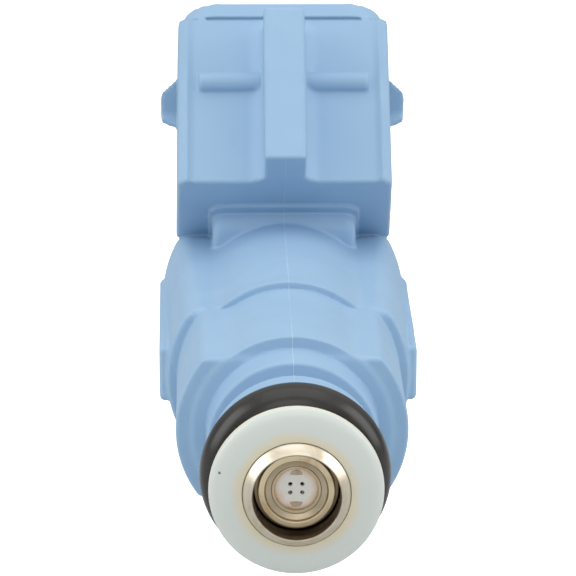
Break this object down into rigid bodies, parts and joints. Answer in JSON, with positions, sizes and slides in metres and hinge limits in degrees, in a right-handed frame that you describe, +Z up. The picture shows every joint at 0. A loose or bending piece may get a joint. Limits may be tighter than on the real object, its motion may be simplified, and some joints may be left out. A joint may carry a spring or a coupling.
{
  "type": "fuel injector",
  "caption": "Top-fed solenoid fuel injector with a light blue moulded body, an angled two-pin socket, a flat spray plate nozzle and O-ring seals at both ends.",
  "frame": {"origin": "centre of the lower (manifold) O-ring on the injector's axis", "axes": "+Y along the injector's axis from the nozzle toward the rail end, +Z up on the side of the electrical connector, X across the connector's width; symmetric about X = 0"},
  "size_m": [0.0228, 0.0724, 0.0364],
  "materials": {
    "blue_nylon": "moulded light blue glass-filled nylon, satin",
    "milky_nylon": "milky translucent nylon",
    "ring_rubber": "black fluoro rubber, lightly oiled",
    "seal_rubber": "dark brown seal rubber",
    "backup_nylon": "black nylon",
    "nose_steel": "turned stainless steel, warm heat tint",
    "retainer_steel": "turned steel with brown fuel staining",
    "plate_steel": "pale matt stainless plate",
    "seat_steel": "ground hardened steel",
    "guide_steel": "ground steel disc",
    "ball_steel": "polished ball",
    "needle_steel": "drawn stainless tube",
    "armature_steel": "turned soft magnetic steel",
    "spring_steel": "stainless spring wire",
    "sleeve_steel": "austenitic steel sleeve",
    "shim_chrome": "hard chromed washer",
    "bobbin_nylon": "natural nylon",
    "copper": "enamelled copper wire",
    "winding_copper": "enamelled copper wire wound in layers",
    "yoke_steel": "drawn soft steel, zinc plated",
    "inlet_steel": "turned magnetic stainless steel",
    "adjuster_steel": "slit rolled steel sleeve",
    "collar_brass": "turned brass",
    "frame_nylon": "natural nylon cage",
    "filter_gauze": "fine woven gauze",
    "tinned_brass": "tin plated brass strip"
  },
  "bodies": {
    "injector": {"overmould_housing": "blue_nylon", "nozzle_cap": "milky_nylon", "manifold_o_ring": "ring_rubber", "rail_o_ring": "ring_rubber", "coil_seal_front": "seal_rubber", "coil_seal_rear": "seal_rubber", "rail_backup_ring": "backup_nylon", "valve_body": "nose_steel", "plate_retainer": "retainer_steel", "orifice_plate": "plate_steel", "valve_seat": "seat_steel", "needle_guide": "guide_steel", "return_spring": "spring_steel", "nonmagnetic_sleeve": "sleeve_steel", "lift_shim": "shim_chrome", "coil_bobbin": "bobbin_nylon", "coil_lead_left": "copper", "coil_lead_right": "copper", "coil_winding": "winding_copper", "magnet_yoke": "yoke_steel", "flux_washer": "yoke_steel", "inlet_tube": "inlet_steel", "adjusting_sleeve": "adjuster_steel", "filter_collar": "collar_brass", "filter_frame": "frame_nylon", "filter_mesh": "filter_gauze", "terminal_left": "tinned_brass", "terminal_right": "tinned_brass"},
    "valve_needle": {"valve_ball": "ball_steel", "needle_tube": "needle_steel", "armature": "armature_steel"}
  },
  "joints": [
    {"name": "needle_lift", "type": "slide", "parent": "injector", "child": "valve_needle", "axis": [0, 1, 0], "range_m": [0, 0.0001], "stiffness_N_per_m": 500, "springref_m": -0.004, "deforming": ["return_spring"]}
  ]
}
